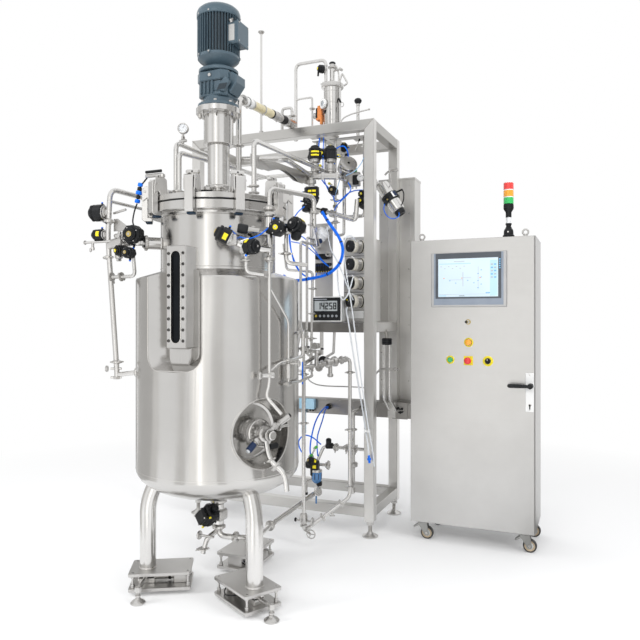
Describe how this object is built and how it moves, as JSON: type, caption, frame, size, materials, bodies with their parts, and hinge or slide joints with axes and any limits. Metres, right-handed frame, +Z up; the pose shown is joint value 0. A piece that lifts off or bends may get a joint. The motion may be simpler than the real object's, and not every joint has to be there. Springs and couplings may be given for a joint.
{
  "type": "pilot bioreactor",
  "caption": "Floor-standing jacketed stainless steel pilot bioreactor: stirred vessel on weighed legs with top drive, piping skid with pumps and filters, and wheeled control cabinet.",
  "frame": {"origin": "on the floor, under the middle of the whole plant's bounding box", "axes": "+X runs along the skid's front towards the control cabinet, +Y towards the back of the skid, +Z up; the vessel and the cabinet door face -Y"},
  "size_m": [2.1944, 2.0304, 3.14],
  "materials": {
    "polished_steel": "fine ground and polished stainless",
    "brushed_steel": "brushed stainless",
    "drive_paint": "blue-grey machine paint",
    "black_rubber": "matt",
    "dark_glass": "dark sight glass",
    "cream_plastic": "satin",
    "black_plastic": "satin",
    "blue_hose": "satin hose",
    "clear_silicone": "milky silicone",
    "panel_grey": "satin",
    "amber_lens": "glossy lens",
    "green_plastic": "glossy",
    "red_plastic": "glossy"
  },
  "bodies": {
    "plant": {"tank_shell": "polished_steel", "jacket_cladding": "polished_steel", "vessel_lid": "polished_steel", "lid_gasket": "black_rubber", "sight_frame": "brushed_steel", "sight_glass": "dark_glass", "drive_stool": "polished_steel", "gearbox": "drive_paint", "motor": "drive_paint", "leg_1": "polished_steel", "leg_2": "polished_steel", "leg_3": "polished_steel", "weigh_module_1": "brushed_steel", "weigh_module_2": "brushed_steel", "weigh_module_3": "brushed_steel", "outlet_valve": "brushed_steel", "port_valve": "brushed_steel", "left_valve_train": "brushed_steel", "front_valve_train": "brushed_steel", "vent_pipes": "polished_steel", "exhaust_condenser": "polished_steel", "air_manifold": "brushed_steel", "skid_frame": "brushed_steel", "wireway": "brushed_steel", "filter_housing": "polished_steel", "steam_manifold": "brushed_steel", "control_actuator": "brushed_steel", "pump_case": "cream_plastic", "weigh_display": "black_plastic", "condensate_line": "brushed_steel", "drain_line": "brushed_steel", "solenoid_island": "black_plastic", "air_hose_bundle": "blue_hose", "feed_tube": "clear_silicone", "feed_connector": "blue_hose", "cabinet_case": "brushed_steel", "signal_tower": "black_plastic"},
    "agitator": {"agitator_shaft": "brushed_steel", "impeller_lower": "brushed_steel", "impeller_upper": "brushed_steel"},
    "pump_1": {"pump_rotor_1": "black_plastic"},
    "pump_2": {"pump_rotor_2": "black_plastic"},
    "pump_3": {"pump_rotor_3": "black_plastic"},
    "pump_4": {"pump_rotor_4": "black_plastic"},
    "door": {"cabinet_door": "brushed_steel", "operator_panel": "panel_grey"},
    "lever": {"door_lever": "black_plastic"},
    "key": {"key_switch": "brushed_steel"},
    "selector": {"selector_switch": "black_plastic"},
    "lamp": {"lamp_button": "amber_lens"},
    "start": {"start_button": "green_plastic"},
    "stop": {"stop_button": "red_plastic"},
    "caster_1": {"caster_fork_1": "brushed_steel"},
    "wheel_1": {"caster_wheel_1": "black_rubber"},
    "caster_2": {"caster_fork_2": "brushed_steel"},
    "wheel_2": {"caster_wheel_2": "black_rubber"},
    "caster_3": {"caster_fork_3": "brushed_steel"},
    "wheel_3": {"caster_wheel_3": "black_rubber"},
    "caster_4": {"caster_fork_4": "brushed_steel"},
    "wheel_4": {"caster_wheel_4": "black_rubber"}
  },
  "joints": [
    {"name": "agitator_spin", "type": "hinge", "parent": "plant", "child": "agitator", "pos_m": [-0.30025, -0.62176, 1], "axis": [0, 0, 1], "continuous": true},
    {"name": "pump_1_spin", "type": "hinge", "parent": "plant", "child": "pump_1", "pos_m": [0.02675, 0.34024, 1.739], "axis": [-0.5736, -0.8192, 0], "continuous": true},
    {"name": "pump_2_spin", "type": "hinge", "parent": "plant", "child": "pump_2", "pos_m": [0.02675, 0.34024, 1.63], "axis": [-0.5736, -0.8192, 0], "continuous": true},
    {"name": "pump_3_spin", "type": "hinge", "parent": "plant", "child": "pump_3", "pos_m": [0.02675, 0.34024, 1.517], "axis": [-0.5736, -0.8192, 0], "continuous": true},
    {"name": "pump_4_spin", "type": "hinge", "parent": "plant", "child": "pump_4", "pos_m": [0.02675, 0.34024, 1.406], "axis": [-0.5736, -0.8192, 0], "continuous": true},
    {"name": "door_swing", "type": "hinge", "parent": "plant", "child": "door", "pos_m": [0.39175, 0.39724, 0.933], "axis": [0, 0, -1], "range_deg": [0, 100]},
    {"name": "lever_turn", "type": "hinge", "parent": "door", "child": "lever", "pos_m": [1.06975, 0.37224, 0.931], "axis": [0, -1, 0], "range_deg": [0, 90]},
    {"name": "key_turn", "type": "hinge", "parent": "door", "child": "key", "pos_m": [0.72975, 0.37224, 1.281], "axis": [0, 1, 0], "range_deg": [0, 90]},
    {"name": "selector_turn", "type": "hinge", "parent": "door", "child": "selector", "pos_m": [0.83975, 0.37224, 1.061], "axis": [0, 1, 0], "range_deg": [-45, 45]},
    {"name": "lamp_press", "type": "slide", "parent": "door", "child": "lamp", "axis": [0, 1, 0], "range_m": [0, 0.006], "stiffness_N_per_m": 400},
    {"name": "start_press", "type": "slide", "parent": "door", "child": "start", "axis": [0, 1, 0], "range_m": [0, 0.006], "stiffness_N_per_m": 400},
    {"name": "stop_press", "type": "slide", "parent": "door", "child": "stop", "axis": [0, 1, 0], "range_m": [0, 0.006], "stiffness_N_per_m": 400},
    {"name": "caster_1_swivel", "type": "hinge", "parent": "plant", "child": "caster_1", "pos_m": [0.45175, 0.43224, 0.1], "axis": [0, 0, 1], "continuous": true},
    {"name": "wheel_1_roll", "type": "hinge", "parent": "caster_1", "child": "wheel_1", "pos_m": [0.47975, 0.43224, 0.0375], "axis": [0, 1, 0], "continuous": true},
    {"name": "caster_2_swivel", "type": "hinge", "parent": "plant", "child": "caster_2", "pos_m": [1.03175, 0.43224, 0.1], "axis": [0, 0, 1], "continuous": true},
    {"name": "wheel_2_roll", "type": "hinge", "parent": "caster_2", "child": "wheel_2", "pos_m": [1.05975, 0.43224, 0.0375], "axis": [0, 1, 0], "continuous": true},
    {"name": "caster_3_swivel", "type": "hinge", "parent": "plant", "child": "caster_3", "pos_m": [0.45175, 0.71224, 0.1], "axis": [0, 0, 1], "continuous": true},
    {"name": "wheel_3_roll", "type": "hinge", "parent": "caster_3", "child": "wheel_3", "pos_m": [0.47975, 0.71224, 0.0375], "axis": [0, 1, 0], "continuous": true},
    {"name": "caster_4_swivel", "type": "hinge", "parent": "plant", "child": "caster_4", "pos_m": [1.03175, 0.71224, 0.1], "axis": [0, 0, 1], "continuous": true},
    {"name": "wheel_4_roll", "type": "hinge", "parent": "caster_4", "child": "wheel_4", "pos_m": [1.05975, 0.71224, 0.0375], "axis": [0, 1, 0], "continuous": true}
  ]
}
